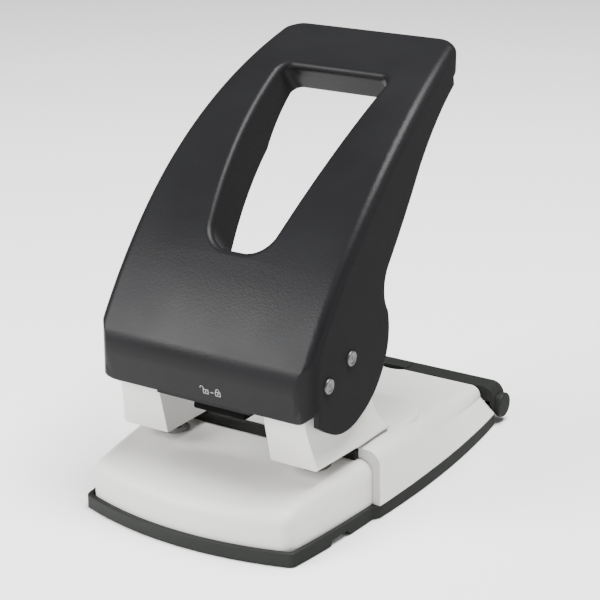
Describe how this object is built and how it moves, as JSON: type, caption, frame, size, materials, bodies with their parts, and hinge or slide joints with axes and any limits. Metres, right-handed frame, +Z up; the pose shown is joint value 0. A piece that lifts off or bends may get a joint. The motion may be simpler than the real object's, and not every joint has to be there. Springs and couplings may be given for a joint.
{
  "type": "two-hole lever punch",
  "caption": "Manual desk punch: a long lever handle with a hand window swings over two arms and drives punches through a paper throat; rear chip door, lock slide.",
  "frame": {"origin": "on the desk plane, midway across the width and midway between the front of the pan and the rear of the chip door", "axes": "+Z up, +Y from the front of the pan to the chip door, +X to the right of someone facing the handle's front"},
  "size_m": [0.1344, 0.2146, 0.2067],
  "materials": {
    "light_plastic": "fine matt moulded grain",
    "black_plastic": "satin, finely grained",
    "dark_plastic": "satin",
    "rubber": "matt",
    "frame_steel": "plated sheet",
    "hard_steel": "ground",
    "pin_steel": "turned",
    "screw_steel": "zinc plated",
    "spring_steel": "drawn wire",
    "bush_brass": "sintered"
  },
  "bodies": {
    "base": {"base_pan": "dark_plastic", "rubber_feet": "rubber", "base_screws": "screw_steel", "base_plate": "frame_steel", "front_cover": "light_plastic", "rear_cover": "light_plastic", "frame_left": "frame_steel", "frame_right": "frame_steel", "frame_bolts": "screw_steel", "die_plate": "frame_steel", "die_left": "hard_steel", "die_right": "hard_steel", "guide_bush_left": "bush_brass", "guide_bush_right": "bush_brass", "pivot_bushes": "bush_brass", "paper_stop": "dark_plastic", "return_spring_left": "spring_steel", "return_spring_right": "spring_steel", "door_pins": "pin_steel"},
    "handle": {"handle_shell": "black_plastic", "side_plate_left": "frame_steel", "side_plate_right": "frame_steel", "plate_screws": "screw_steel", "pivot_pin": "pin_steel", "press_pin": "pin_steel", "pin_clips": "pin_steel"},
    "punch_left": {"punch_left": "hard_steel", "punch_collar_left": "hard_steel"},
    "punch_right": {"punch_right": "hard_steel", "punch_collar_right": "hard_steel"},
    "lock_slider": {"lock_slider": "black_plastic"},
    "chip_door": {"chip_door": "dark_plastic"}
  },
  "joints": [
    {"name": "handle_hinge", "type": "hinge", "parent": "base", "child": "handle", "pos_m": [0, -0.0691, 0.0773], "axis": [-1, 0, 0], "range_deg": [0, 36], "stiffness_Nm_per_rad": 0.9, "springref_deg": -34.38},
    {"name": "punch_left_slide", "type": "slide", "parent": "base", "child": "punch_left", "axis": [0, 0, -1], "range_m": [0, 0.0126], "deforming": ["return_spring_left"]},
    {"name": "punch_right_slide", "type": "slide", "parent": "base", "child": "punch_right", "axis": [0, 0, -1], "range_m": [0, 0.0126], "deforming": ["return_spring_right"]},
    {"name": "lock_slide", "type": "slide", "parent": "handle", "child": "lock_slider", "axis": [1, 0, 0], "range_m": [0, 0.0055]},
    {"name": "door_hinge", "type": "hinge", "parent": "base", "child": "chip_door", "pos_m": [0, 0.1007, 0.0095], "axis": [-1, 0, 0], "range_deg": [0, 90]}
  ],
  "couplings": [
    {"joint": "punch_left_slide", "follows": "handle_hinge", "m_per_rad": 0.01996},
    {"joint": "punch_right_slide", "follows": "handle_hinge", "m_per_rad": 0.01996}
  ]
}
